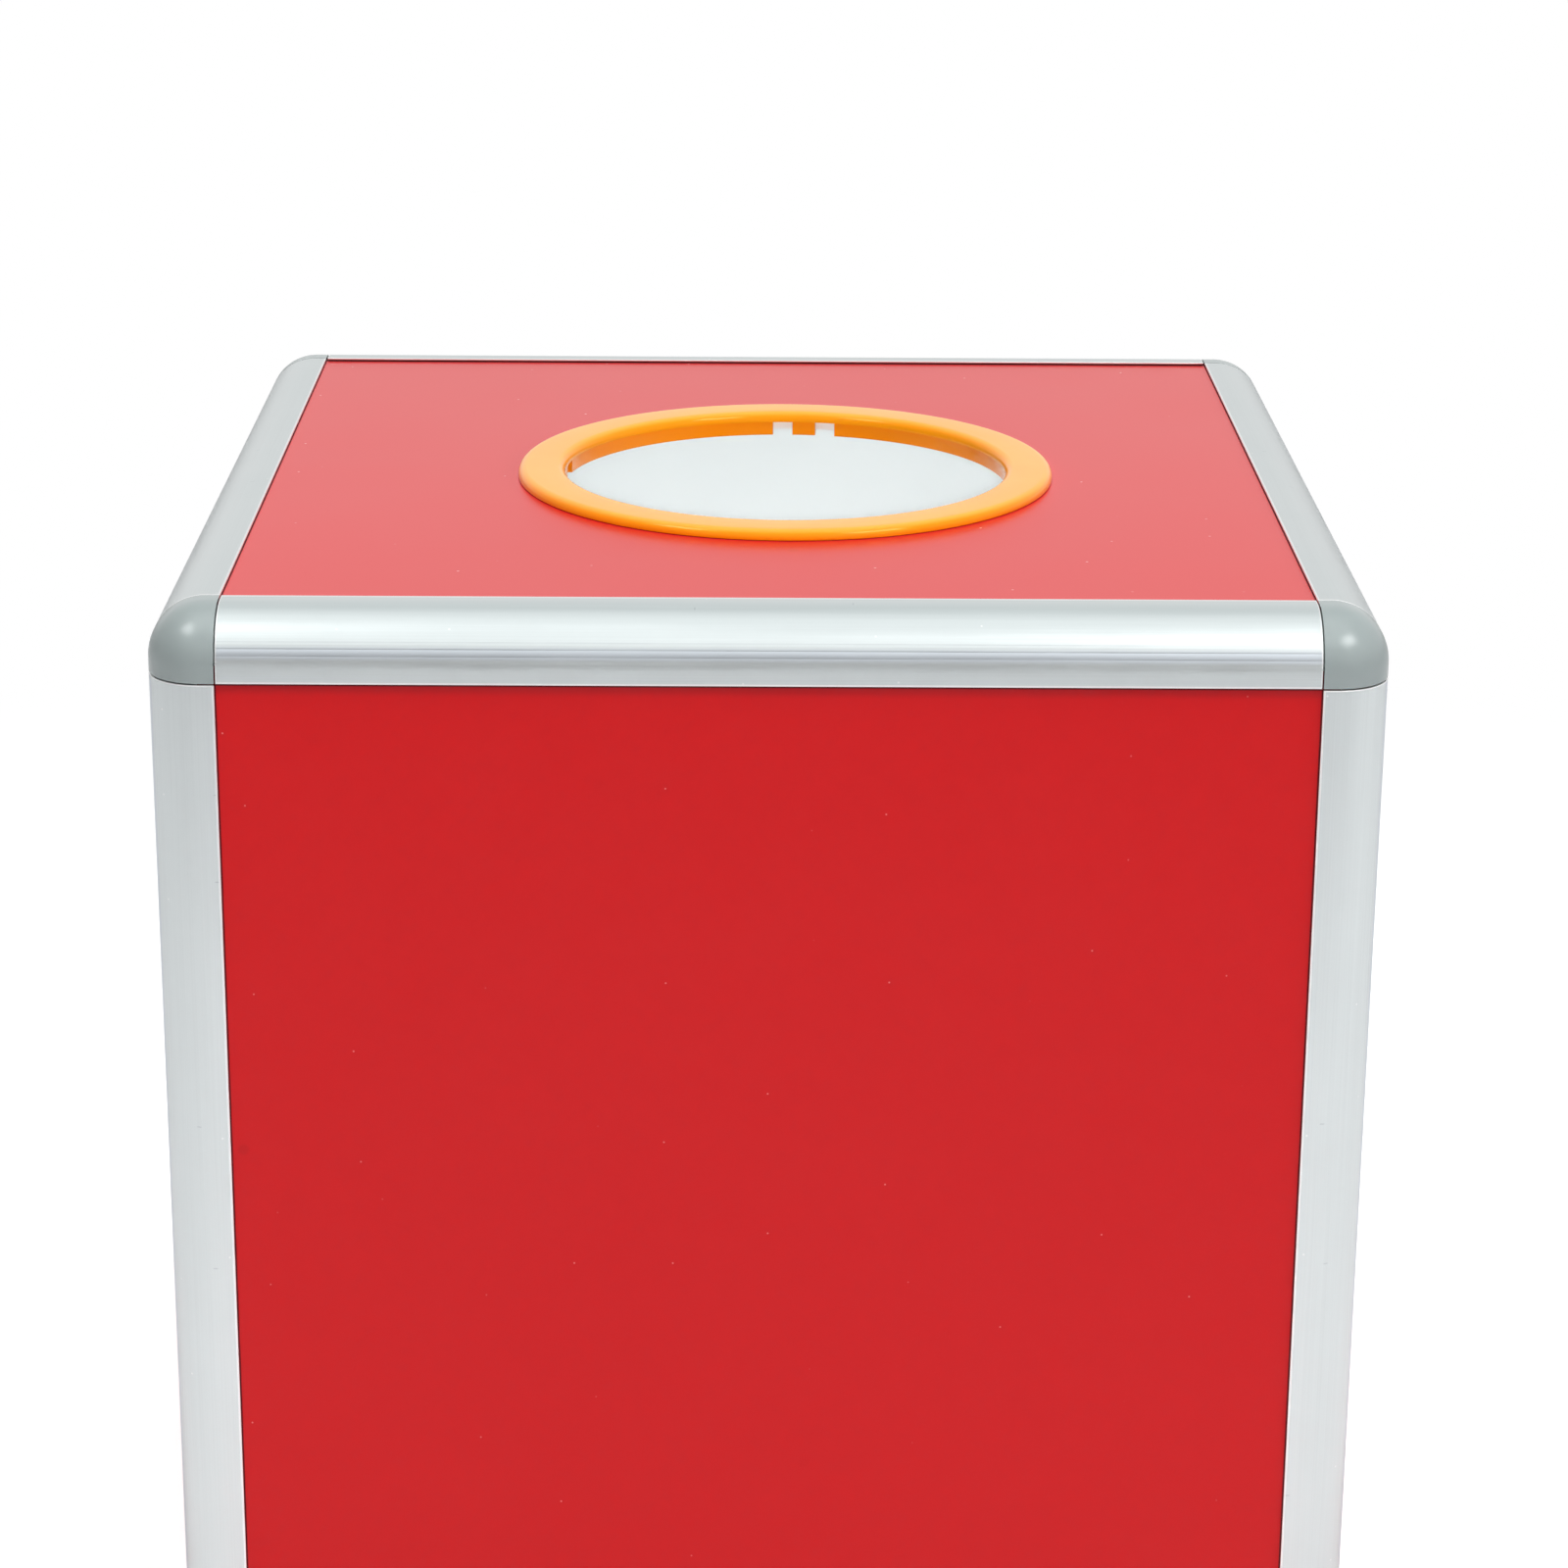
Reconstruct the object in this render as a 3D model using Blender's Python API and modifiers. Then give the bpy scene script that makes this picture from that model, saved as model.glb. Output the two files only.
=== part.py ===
# Raffle box: red panels slotted into a frame of quarter-round aluminium corner rails,
# grey plastic connectors pressed into the rails' ends, and an orange ring snapped into
# the hand hole of the top panel.
# Metres, +Z up. The front faces -Y, and the origin is the middle of the square that
# the box stands on.

import math

import bmesh
import bpy
from mathutils import Matrix, Vector

MM = 0.001

# Overall size, over the rails
BOX_WIDTH = 250 * MM
BOX_DEPTH = 250 * MM
BOX_HEIGHT = 250 * MM

# Gap kept between pieces that touch
FIT_GAP = 0.3 * MM

# Overrun of a cutter past the face that it cuts
CUT_OVERRUN = 1 * MM

# Panels: flat boards held by their edges in the rails' slots
PANEL_THICKNESS = 2 * MM
PANEL_EDGE_GAP = 0.5 * MM

# Rails: one extrusion, quarter-round outside, with a slot for each of two panels
RAIL_FACE = 14.4 * MM
RAIL_FLAT = 2.8 * MM        # flat strip between the round and the lip's edge
RAIL_WALL = 1.2 * MM        # round wall
RAIL_WEB = 1 * MM           # wall between a slot and the hollow core
RAIL_LIP = 0.5 * MM         # lip over the panel's outer face
RAIL_INNER_LIP = 1 * MM     # lip behind the panel
RAIL_SLOT_DEPTH = 4 * MM
RAIL_ROUND_STEPS = 8

# Connectors: a cap with three prongs, one for the hollow core of each rail
PRONG_LENGTH = 16 * MM
PRONG_ROOT = 3 * MM
PRONG_CHAMFER = 0.8 * MM
CAP_ROUND_STEPS = 8

# Hand hole: the middle of its ring, measured from the middle of the top
HOLE_SHIFT_X = 4 * MM
HOLE_SHIFT_Y = -3.4 * MM

# Ring: a flange on the top panel and a collar through it
RING_OPENING_RADIUS = 49.6 * MM
RING_FLANGE_WIDTH = 10.6 * MM
RING_FLANGE_THICKNESS = 2.1 * MM
RING_OUTER_ROUND = 1.9 * MM
RING_INNER_ROUND = 2 * MM
RING_LAND = 0.3 * MM        # upright edge under the inner round
RING_STEP = 0.25 * MM       # the collar's set-back from that edge
RING_TURN_STEPS = 72
RING_ROUND_STEPS = 5
COLLAR_WALL = 1.6 * MM
COLLAR_PAST_PANEL = 1.1 * MM

# Snap tongues: strips of the collar between two slots, each with a barb under the panel
TONGUE_COUNT = 4
TONGUE_FIRST_ANGLE = math.radians(-3.5)
TONGUE_WIDTH = 7.5 * MM
TONGUE_SLOT_WIDTH = 5 * MM
TONGUE_ROOT = 0.5 * MM      # height of whole collar above the slots
BARB_REACH = 1.3 * MM
BARB_HEIGHT = 0.7 * MM
BARB_LAND = 0.3 * MM

# Places worked out from the sizes above
RAIL_RADIUS = RAIL_FACE - RAIL_FLAT
SLOT_FLOOR = RAIL_FACE - RAIL_SLOT_DEPTH
SLOT_BACK = RAIL_LIP + PANEL_THICKNESS + 2 * FIT_GAP
INNER_LIP_BACK = SLOT_BACK + RAIL_INNER_LIP
CORE_SIDE = SLOT_FLOOR - RAIL_WEB
RAIL_END = RAIL_FACE + FIT_GAP
PANEL_RECESS = RAIL_LIP + FIT_GAP
PANEL_EDGE = SLOT_FLOOR + PANEL_EDGE_GAP
RING_TOP = FIT_GAP + RING_FLANGE_THICKNESS
RING_OUTER_RADIUS = RING_OPENING_RADIUS + RING_FLANGE_WIDTH
COLLAR_INNER_RADIUS = RING_OPENING_RADIUS + RING_STEP
COLLAR_OUTER_RADIUS = COLLAR_INNER_RADIUS + COLLAR_WALL
COLLAR_BOTTOM = -(PANEL_THICKNESS + COLLAR_PAST_PANEL)
HOLE_RADIUS = COLLAR_OUTER_RADIUS + FIT_GAP

# Finishes: colour as seen, roughness and metallic value
FINISHES = {
    "satin_aluminium": ((0.83, 0.86, 0.87), 0.38, 1.0),
    "grey_plastic": ((0.60, 0.65, 0.65), 0.35, 0.0),
    "red_board": ((0.80, 0.15, 0.16), 0.30, 0.0),
    "orange_plastic": ((1.0, 0.60, 0.10), 0.28, 0.0),
}
SMOOTH_ANGLE = math.radians(30)

# Distance under which points are one point, and bend under which faces are one face
MERGE = 0.01 * MM
FLAT_ANGLE = math.radians(0.5)

# Signs of the two sides of each direction
SIDES_X = {"left": -1, "right": 1}
SIDES_Y = {"front": -1, "back": 1}
SIDES_Z = {"bottom": -1, "top": 1}


def clear_scene():
    for old in list(bpy.data.objects):
        bpy.data.objects.remove(old)


def new_collection(name):
    collection = bpy.data.collections.new(name)
    bpy.context.scene.collection.children.link(collection)
    return collection


def linear_colour(seen):
    # the Principled shader takes scene-linear values
    low_end, low_slope, offset, power = 0.04045, 12.92, 0.055, 2.4
    return [c / low_slope if c <= low_end else ((c + offset) / (1 + offset)) ** power for c in seen]


def finish_material(finish, node_name):
    colour, roughness, metallic = FINISHES[finish]
    material = bpy.data.materials.new(node_name + "_" + finish)
    material.use_nodes = True
    shader = material.node_tree.nodes["Principled BSDF"]
    shader.inputs["Base Color"].default_value = (*linear_colour(colour), 1)
    shader.inputs["Roughness"].default_value = roughness
    shader.inputs["Metallic"].default_value = metallic
    return material


def add_node(name, mesh, finish, place=Matrix.Identity(4)):
    # one piece of the box; the finish goes on the object, so that copies can share a mesh
    node = bpy.data.objects.new(name, mesh)
    parts.objects.link(node)
    node.matrix_world = place
    if not mesh.materials:
        mesh.materials.append(None)
    node.material_slots[0].link = "OBJECT"
    node.material_slots[0].material = finish_material(finish, name)
    return node


def add_cutter(name, mesh, place=Matrix.Identity(4)):
    cutter = bpy.data.objects.new(name, mesh)
    cutters.objects.link(cutter)
    cutter.matrix_world = place
    cutter.hide_render = True
    cutter.display_type = "WIRE"
    return cutter


def boolean(target, other, operation):
    modifier = target.modifiers.new(other.name, "BOOLEAN")
    modifier.operation = operation
    modifier.object = other


def evaluated_mesh(item):
    bpy.context.view_layer.update()
    graph = bpy.context.evaluated_depsgraph_get()
    return bpy.data.meshes.new_from_object(item.evaluated_get(graph))


def smooth(mesh):
    mesh.shade_smooth()
    mesh.set_sharp_from_angle(angle=SMOOTH_ANGLE)
    return mesh


def arc(centre, radius, start, end, steps):
    turns = [start + (end - start) * step / steps for step in range(steps + 1)]
    return [(centre[0] + radius * math.cos(t), centre[1] + radius * math.sin(t)) for t in turns]


def extruded_mesh(name, outlines, length):
    # a filled flat curve, as long as the piece, centred on its own plane
    curve = bpy.data.curves.new(name, "CURVE")
    curve.dimensions = "2D"
    curve.fill_mode = "BOTH"
    curve.extrude = length / 2
    for outline in outlines:
        spline = curve.splines.new("POLY")
        spline.points.add(len(outline) - 1)
        for point, (x, y) in zip(spline.points, outline):
            point.co = (x, y, 0, 1)
        spline.use_cyclic_u = True
    holder = bpy.data.objects.new(name, curve)
    cutters.objects.link(holder)
    mesh = evaluated_mesh(holder)
    bpy.data.objects.remove(holder)
    bpy.data.curves.remove(curve)
    bm = bmesh.new()
    bm.from_mesh(mesh)
    bmesh.ops.remove_doubles(bm, verts=bm.verts, dist=MERGE)
    bmesh.ops.recalc_face_normals(bm, faces=bm.faces)
    bm.to_mesh(mesh)
    bm.free()
    mesh.materials.clear()
    return mesh


def box_mesh(name, boxes):
    # each box is its lowest corner, its highest corner and a turn
    bm = bmesh.new()
    for low, high, turn in boxes:
        low = Vector(low)
        high = Vector(high)
        middle = Matrix.Translation((low + high) / 2)
        size = Matrix.Diagonal((*(high - low), 1))
        bmesh.ops.create_cube(bm, size=1, matrix=turn @ middle @ size)
    mesh = bpy.data.meshes.new(name)
    bm.to_mesh(mesh)
    bm.free()
    return mesh


def inward_frame(origin, across, other):
    # local X and Y run along the two inward directions, so a section's round is outside
    third = across.cross(other)
    turn = Matrix((across, other, third)).transposed().to_4x4()
    return Matrix.Translation(origin) @ turn


def rail_outline():
    slot = [
        (RAIL_LIP, RAIL_FACE),
        (RAIL_LIP, SLOT_FLOOR),
        (SLOT_BACK, SLOT_FLOOR),
        (SLOT_BACK, RAIL_FACE),
        (INNER_LIP_BACK, RAIL_FACE),
        (INNER_LIP_BACK, SLOT_FLOOR),
    ]
    middle = (RAIL_RADIUS, RAIL_RADIUS)
    outer_round = arc(middle, RAIL_RADIUS, -math.pi / 2, -math.pi, RAIL_ROUND_STEPS)
    other_slot = [(y, x) for x, y in reversed(slot)]
    start = (RAIL_FACE, 0)
    return [start] + outer_round + [(0, RAIL_FACE)] + slot + [(SLOT_FLOOR, SLOT_FLOOR)] + other_slot


def core_outline(inset):
    # the hollow in a rail, or what fits in it when it is inset by the gap
    side = CORE_SIDE - inset
    radius = RAIL_RADIUS - RAIL_WALL - inset
    reach = RAIL_RADIUS - side
    drop = math.sqrt(radius ** 2 - reach ** 2)
    start = math.atan2(-drop, -reach)
    end = math.atan2(-reach, -drop)
    return arc((RAIL_RADIUS, RAIL_RADIUS), radius, start, end, RAIL_ROUND_STEPS) + [(side, side)]


def make_rails():
    outlines = [rail_outline(), core_outline(0)]
    half_x = BOX_WIDTH / 2
    half_y = BOX_DEPTH / 2
    floor_to = {"bottom": 0, "top": BOX_HEIGHT}
    along_x = smooth(extruded_mesh("rail_across", outlines, BOX_WIDTH - 2 * RAIL_END))
    along_y = smooth(extruded_mesh("rail_deep", outlines, BOX_DEPTH - 2 * RAIL_END))
    along_z = smooth(extruded_mesh("rail_upright", outlines, BOX_HEIGHT - 2 * RAIL_END))
    for level, up in SIDES_Z.items():
        down = Vector((0, 0, -up))
        for side, sign in SIDES_Y.items():
            place = inward_frame((0, sign * half_y, floor_to[level]), Vector((0, -sign, 0)), down)
            add_node(f"{side}_{level}_rail", along_x, "satin_aluminium", place)
        for side, sign in SIDES_X.items():
            place = inward_frame((sign * half_x, 0, floor_to[level]), Vector((-sign, 0, 0)), down)
            add_node(f"{side}_{level}_rail", along_y, "satin_aluminium", place)
    for depth_side, y_sign in SIDES_Y.items():
        for side, x_sign in SIDES_X.items():
            corner = (x_sign * half_x, y_sign * half_y, BOX_HEIGHT / 2)
            place = inward_frame(corner, Vector((-x_sign, 0, 0)), Vector((0, -y_sign, 0)))
            add_node(f"{depth_side}_{side}_post", along_z, "satin_aluminium", place)


def cap_mesh():
    # a cube whose three outer edges carry the rails' round and meet in an eighth of a ball
    bm = bmesh.new()
    middle = Matrix.Translation(Vector((RAIL_FACE, RAIL_FACE, RAIL_FACE)) / 2)
    bmesh.ops.create_cube(bm, size=RAIL_FACE, matrix=middle)
    corner = min(bm.verts, key=lambda vert: vert.co.length)
    bmesh.ops.bevel(
        bm, geom=list(corner.link_edges), offset=RAIL_RADIUS, offset_type="OFFSET",
        segments=CAP_ROUND_STEPS, profile=0.5, affect="EDGES")
    mesh = bpy.data.meshes.new("cap")
    bm.to_mesh(mesh)
    bm.free()
    return mesh


def prong_mesh():
    mesh = extruded_mesh("prong", [core_outline(FIT_GAP)], PRONG_LENGTH + PRONG_ROOT)
    bm = bmesh.new()
    bm.from_mesh(mesh)
    bmesh.ops.dissolve_limit(bm, angle_limit=FLAT_ANGLE, verts=bm.verts, edges=bm.edges)
    tip_height = max(vert.co.z for vert in bm.verts) - MERGE
    tip = [edge for edge in bm.edges if min(vert.co.z for vert in edge.verts) > tip_height]
    bmesh.ops.bevel(
        bm, geom=tip, offset=PRONG_CHAMFER, offset_type="OFFSET", segments=1, affect="EDGES")
    bm.to_mesh(mesh)
    bm.free()
    return mesh


def connector_mesh():
    # the outer corner is at the origin, and the three inward directions are +X, +Y and +Z
    connector = add_cutter("connector", cap_mesh())
    prong = prong_mesh()
    lift = Matrix.Translation((0, 0, RAIL_FACE - PRONG_ROOT + (PRONG_LENGTH + PRONG_ROOT) / 2))
    axes = [Vector((1, 0, 0)), Vector((0, 1, 0)), Vector((0, 0, 1))]
    past = RAIL_FACE + CUT_OVERRUN
    slots = []
    for turn in range(len(axes)):
        order = axes[turn:] + axes[:turn]
        frame = Matrix(order).transposed().to_4x4()
        boolean(connector, add_cutter(f"prong_{turn}", prong, frame @ lift), "UNION")
        slots.append(((SLOT_FLOOR, SLOT_FLOOR, RAIL_LIP), (past, past, SLOT_BACK), frame))
    inner = ((SLOT_FLOOR, SLOT_FLOOR, SLOT_FLOOR), (past, past, past), Matrix.Identity(4))
    boolean(connector, add_cutter("connector_inside", box_mesh("inside", [inner])), "DIFFERENCE")
    for turn, slot in enumerate(slots):
        cut = add_cutter(f"connector_slot_{turn}", box_mesh("slot", [slot]))
        boolean(connector, cut, "DIFFERENCE")
    mesh = evaluated_mesh(connector)
    for helper in list(cutters.objects):
        bpy.data.objects.remove(helper)
    return smooth(mesh)


def make_connectors():
    mesh = connector_mesh()
    for level, up in SIDES_Z.items():
        for depth_side, y_sign in SIDES_Y.items():
            for side, x_sign in SIDES_X.items():
                corner = (x_sign * BOX_WIDTH / 2, y_sign * BOX_DEPTH / 2, (up + 1) * BOX_HEIGHT / 2)
                across = Vector((-x_sign, 0, 0))
                deep = Vector((0, -y_sign, 0))
                if x_sign * y_sign * up < 0:
                    place = inward_frame(corner, across, deep)
                else:
                    place = inward_frame(corner, deep, across)
                add_node(f"{depth_side}_{side}_{level}_connector", mesh, "grey_plastic", place)


def make_panels():
    half_x = BOX_WIDTH / 2 - PANEL_EDGE
    half_y = BOX_DEPTH / 2 - PANEL_EDGE
    low_z = PANEL_EDGE
    high_z = BOX_HEIGHT - PANEL_EDGE
    outer = PANEL_RECESS
    inner = PANEL_RECESS + PANEL_THICKNESS
    upright = Matrix.Identity(4)
    boxes = {
        "front_panel": ((-half_x, outer - BOX_DEPTH / 2, low_z), (half_x, inner - BOX_DEPTH / 2, high_z)),
        "back_panel": ((-half_x, BOX_DEPTH / 2 - inner, low_z), (half_x, BOX_DEPTH / 2 - outer, high_z)),
        "left_panel": ((outer - BOX_WIDTH / 2, -half_y, low_z), (inner - BOX_WIDTH / 2, half_y, high_z)),
        "right_panel": ((BOX_WIDTH / 2 - inner, -half_y, low_z), (BOX_WIDTH / 2 - outer, half_y, high_z)),
        "bottom_panel": ((-half_x, -half_y, outer), (half_x, half_y, inner)),
        "top_panel": ((-half_x, -half_y, BOX_HEIGHT - inner), (half_x, half_y, BOX_HEIGHT - outer)),
    }
    for name, (low, high) in boxes.items():
        panel = add_node(name, box_mesh(name, [(low, high, upright)]), "red_board")
        if name == "top_panel":
            bm = bmesh.new()
            bmesh.ops.create_cone(
                bm, cap_ends=True, segments=RING_TURN_STEPS, radius1=HOLE_RADIUS,
                radius2=HOLE_RADIUS, depth=PANEL_THICKNESS + 2 * CUT_OVERRUN)
            mesh = bpy.data.meshes.new("hand_hole")
            bm.to_mesh(mesh)
            bm.free()
            middle = (HOLE_SHIFT_X, HOLE_SHIFT_Y, (low[2] + high[2]) / 2)
            boolean(panel, add_cutter("hand_hole", mesh, Matrix.Translation(middle)), "DIFFERENCE")


def ring_profile():
    # radius and height above the panel, clockwise, so that the outer side runs down
    inner_middle = (RING_OPENING_RADIUS + RING_INNER_ROUND, RING_TOP - RING_INNER_ROUND)
    outer_middle = (RING_OUTER_RADIUS - RING_OUTER_ROUND, RING_TOP - RING_OUTER_ROUND)
    step = RING_TOP - RING_INNER_ROUND - RING_LAND
    profile = arc(inner_middle, RING_INNER_ROUND, math.pi, math.pi / 2, RING_ROUND_STEPS)
    profile += arc(outer_middle, RING_OUTER_ROUND, math.pi / 2, 0, RING_ROUND_STEPS)
    profile += [
        (RING_OUTER_RADIUS, FIT_GAP),
        (COLLAR_OUTER_RADIUS, FIT_GAP),
        (COLLAR_OUTER_RADIUS, COLLAR_BOTTOM),
        (COLLAR_INNER_RADIUS, COLLAR_BOTTOM),
        (COLLAR_INNER_RADIUS, step),
        (RING_OPENING_RADIUS, step),
    ]
    return profile


def barb_outline():
    root = COLLAR_OUTER_RADIUS - COLLAR_WALL / 2
    tip = COLLAR_OUTER_RADIUS + BARB_REACH
    top = -PANEL_THICKNESS - FIT_GAP
    bottom = top - BARB_HEIGHT
    return [(root, top), (tip, top), (tip, top - BARB_LAND), (COLLAR_OUTER_RADIUS, bottom), (root, bottom)]


def make_ring():
    profile = ring_profile()
    mesh = bpy.data.meshes.new("ring_profile")
    edges = [(index, (index + 1) % len(profile)) for index in range(len(profile))]
    mesh.from_pydata([(radius, 0, height) for radius, height in profile], edges, [])
    ring = add_cutter("ring_turned", mesh)
    screw = ring.modifiers.new("turn", "SCREW")
    screw.axis = "Z"
    screw.angle = 2 * math.pi
    screw.steps = RING_TURN_STEPS
    screw.render_steps = RING_TURN_STEPS
    screw.use_merge_vertices = True
    screw.merge_threshold = MERGE
    screw.use_normal_calculate = True

    barb = extruded_mesh("barb", [barb_outline()], TONGUE_WIDTH)
    near = RING_OPENING_RADIUS - CUT_OVERRUN
    far = COLLAR_OUTER_RADIUS + CUT_OVERRUN
    slots = []
    for index in range(TONGUE_COUNT):
        turn = Matrix.Rotation(TONGUE_FIRST_ANGLE + index * 2 * math.pi / TONGUE_COUNT, 4, "Z")
        upright = Matrix.Rotation(math.pi / 2, 4, "X")
        boolean(ring, add_cutter(f"barb_{index}", barb, turn @ upright), "UNION")
        for sign in (-1, 1):
            sides = sorted((sign * TONGUE_WIDTH / 2, sign * (TONGUE_WIDTH / 2 + TONGUE_SLOT_WIDTH)))
            low = (near, sides[0], COLLAR_BOTTOM - CUT_OVERRUN)
            high = (far, sides[1], -TONGUE_ROOT)
            slots.append((low, high, turn))
    boolean(ring, add_cutter("tongue_slots", box_mesh("tongue_slots", slots)), "DIFFERENCE")
    turned = smooth(evaluated_mesh(ring))
    for helper in [item for item in cutters.objects if item.name != "hand_hole"]:
        bpy.data.objects.remove(helper)
    place = Matrix.Translation((HOLE_SHIFT_X, HOLE_SHIFT_Y, BOX_HEIGHT - PANEL_RECESS))
    add_node("hole_ring", turned, "orange_plastic", place)


clear_scene()
parts = new_collection("raffle_box")
cutters = new_collection("cutters")
make_rails()
make_connectors()
make_panels()
make_ring()
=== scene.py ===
# Raffle box: finished pieces, finishes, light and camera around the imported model.
import math

import bmesh
import bpy
from mathutils import Matrix, Vector


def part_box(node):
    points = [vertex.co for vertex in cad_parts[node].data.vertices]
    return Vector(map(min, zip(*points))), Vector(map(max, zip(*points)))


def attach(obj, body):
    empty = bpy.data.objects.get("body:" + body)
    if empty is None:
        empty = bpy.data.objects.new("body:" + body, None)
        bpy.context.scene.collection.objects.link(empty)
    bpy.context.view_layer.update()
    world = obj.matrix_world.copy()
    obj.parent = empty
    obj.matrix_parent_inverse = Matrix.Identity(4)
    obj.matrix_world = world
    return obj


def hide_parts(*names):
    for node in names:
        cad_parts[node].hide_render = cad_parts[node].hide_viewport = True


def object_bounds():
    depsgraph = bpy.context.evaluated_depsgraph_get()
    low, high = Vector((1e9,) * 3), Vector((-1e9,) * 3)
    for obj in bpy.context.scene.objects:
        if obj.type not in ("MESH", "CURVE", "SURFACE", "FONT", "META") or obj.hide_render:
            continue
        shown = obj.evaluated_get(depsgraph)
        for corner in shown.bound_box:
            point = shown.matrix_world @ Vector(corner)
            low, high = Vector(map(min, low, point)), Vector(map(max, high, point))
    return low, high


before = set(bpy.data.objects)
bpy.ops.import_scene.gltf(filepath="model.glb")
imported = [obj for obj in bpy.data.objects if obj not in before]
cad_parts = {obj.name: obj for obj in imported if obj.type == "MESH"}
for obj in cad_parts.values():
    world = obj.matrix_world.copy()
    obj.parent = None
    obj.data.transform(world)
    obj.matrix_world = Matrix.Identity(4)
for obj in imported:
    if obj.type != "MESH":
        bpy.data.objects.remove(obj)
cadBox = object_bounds()
mm = 0.001
slack = 0.0000005          # how far a point may be off the place where it is looked for
mergeDistance = 0.000001
halfBox = (cadBox[1] - cadBox[0]) / 2
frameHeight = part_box("back_left_top_connector")[1].z
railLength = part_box("front_top_rail")[1].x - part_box("front_top_rail")[0].x
print("frame loaded,", len(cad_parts), "nodes")


class Wire:
    # a socket of a material; sums and products of wires add their Math nodes
    def __init__(self, board, socket):
        self.board = board
        self.socket = socket

    def output(self, name):
        # another output of the same node
        return Wire(self.board, self.socket.node.outputs[name])

    def math(self, operation, *others):
        return self.board.node("ShaderNodeMath", {"operation": operation}, [self, *others])

    def __add__(self, other):
        return self.math("ADD", other)

    def __mul__(self, other):
        return self.math("MULTIPLY", other)

    def __sub__(self, other):
        return self.math("SUBTRACT", other)

    def __rsub__(self, other):
        return self.board.node("ShaderNodeMath", {"operation": "SUBTRACT"}, [other, self])

    def __truediv__(self, other):
        return self.math("DIVIDE", other)

    def __gt__(self, other):
        return self.math("GREATER_THAN", other)

    __radd__ = __add__
    __rmul__ = __mul__


class Board:
    # the nodes of one material, or of the world
    def __init__(self, owner, output="ShaderNodeOutputMaterial"):
        owner.use_nodes = True
        self.tree = owner.node_tree
        self.tree.nodes.clear()
        self.out = self.tree.nodes.new(output)

    def show(self, shader):
        self.tree.links.new(shader.socket, self.out.inputs["Surface"])

    def node(self, kind, settings=None, values=(), out=0):
        # the settings come first, then a value or a link for each socket
        made = self.tree.nodes.new(kind)
        for name, value in (settings or {}).items():
            setattr(made, name, value)
        pairs = values.items() if isinstance(values, dict) else enumerate(values)
        for key, value in pairs:
            self.feed(made.inputs[key], value)
        return Wire(self, made.outputs[out])

    def feed(self, socket, value):
        if isinstance(value, Wire):
            self.tree.links.new(value.socket, socket)
        elif isinstance(value, tuple) and len(value) == 3 and socket.type == "RGBA":
            socket.default_value = (*value, 1)
        else:
            socket.default_value = value

    def place(self):
        return self.node("ShaderNodeTexCoord", out="Object")

    def ray(self, kind):
        return self.node("ShaderNodeLightPath", out=kind)

    def parts(self, vector):
        split = self.node("ShaderNodeSeparateXYZ", values=[vector])
        return [split.output(name) for name in "XYZ"]

    def point(self, x, y, z):
        return self.node("ShaderNodeCombineXYZ", values=[x, y, z])

    def noise(self, vector, scale, detail=2.0, rough=0.5):
        values = {"Vector": vector, "Scale": scale, "Detail": detail, "Roughness": rough}
        return self.node("ShaderNodeTexNoise", values=values)

    def between(self, value, low, high, start=0.0, end=1.0):
        # a share of the way from low to high, clamped, then spread from start to end
        values = [value, low, high, start, end]
        return self.node("ShaderNodeMapRange", {"interpolation_type": "SMOOTHSTEP"}, values)

    def blend(self, share, first, second):
        # on a Mix node of colours the first socket is the factor, and 6 and 7 are the colours
        values = {0: share, 6: first, 7: second}
        return self.node("ShaderNodeMix", {"data_type": "RGBA"}, values, out=2)

    def specks(self, vector, spacing, size, share, dimensions="2D"):
        # small round dots, in a share of the cells only and more or less strong
        solid = 0.4       # share of a dot inside its soft edge
        strong = 0.25     # share of the dots at full strength
        settings = {"feature": "F1", "voronoi_dimensions": dimensions}
        values = {"Vector": vector, "Scale": 1 / spacing}
        cells = self.node("ShaderNodeTexVoronoi", settings, values)
        chance = self.node("ShaderNodeSeparateColor", values=[cells.output("Color")])
        dot = self.between(cells, size / spacing, size * solid / spacing)
        return dot * self.between(chance, share, share * strong)

    def bump(self, height, strength, distance):
        values = {"Strength": strength, "Distance": distance, "Height": height}
        return self.node("ShaderNodeBump", values=values)


def paint(name, makeNodes, *details):
    # a material with one Principled shader, fed with what makeNodes returns for its sockets
    material = bpy.data.materials.new(name)
    board = Board(material)
    board.show(board.node("ShaderNodeBsdfPrincipled", values=makeNodes(board, *details)))
    return material


def deselectAll():
    if bpy.context.object and bpy.context.object.mode != "OBJECT":
        bpy.ops.object.mode_set(mode="OBJECT")
    bpy.ops.object.select_all(action="DESELECT")


def makeActive(piece):
    deselectAll()
    piece.select_set(True)
    bpy.context.view_layer.objects.active = piece


def named(name):
    piece = bpy.context.object
    piece.name = name
    piece.data.name = name
    return piece


def addBlock(name, low, high):
    deselectAll()
    low, high = Vector(low), Vector(high)
    bpy.ops.mesh.primitive_cube_add(size=1, location=(low + high) / 2, scale=high - low)
    bpy.ops.object.transform_apply(location=True, rotation=True, scale=True)
    return named(name)


def addRod(name, middle, radius, length, sides):
    deselectAll()
    size = {"vertices": sides, "radius": radius, "depth": length}
    bpy.ops.mesh.primitive_cylinder_add(location=middle, **size)
    bpy.ops.object.transform_apply(location=True, rotation=True, scale=True)
    return named(name)


def startEdit(piece, kind="EDGE"):
    makeActive(piece)
    bpy.ops.object.mode_set(mode="EDIT")
    bpy.ops.mesh.select_mode(type=kind)
    bpy.ops.mesh.select_all(action="DESELECT")


def endEdit():
    bpy.ops.object.mode_set(mode="OBJECT")


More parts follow.
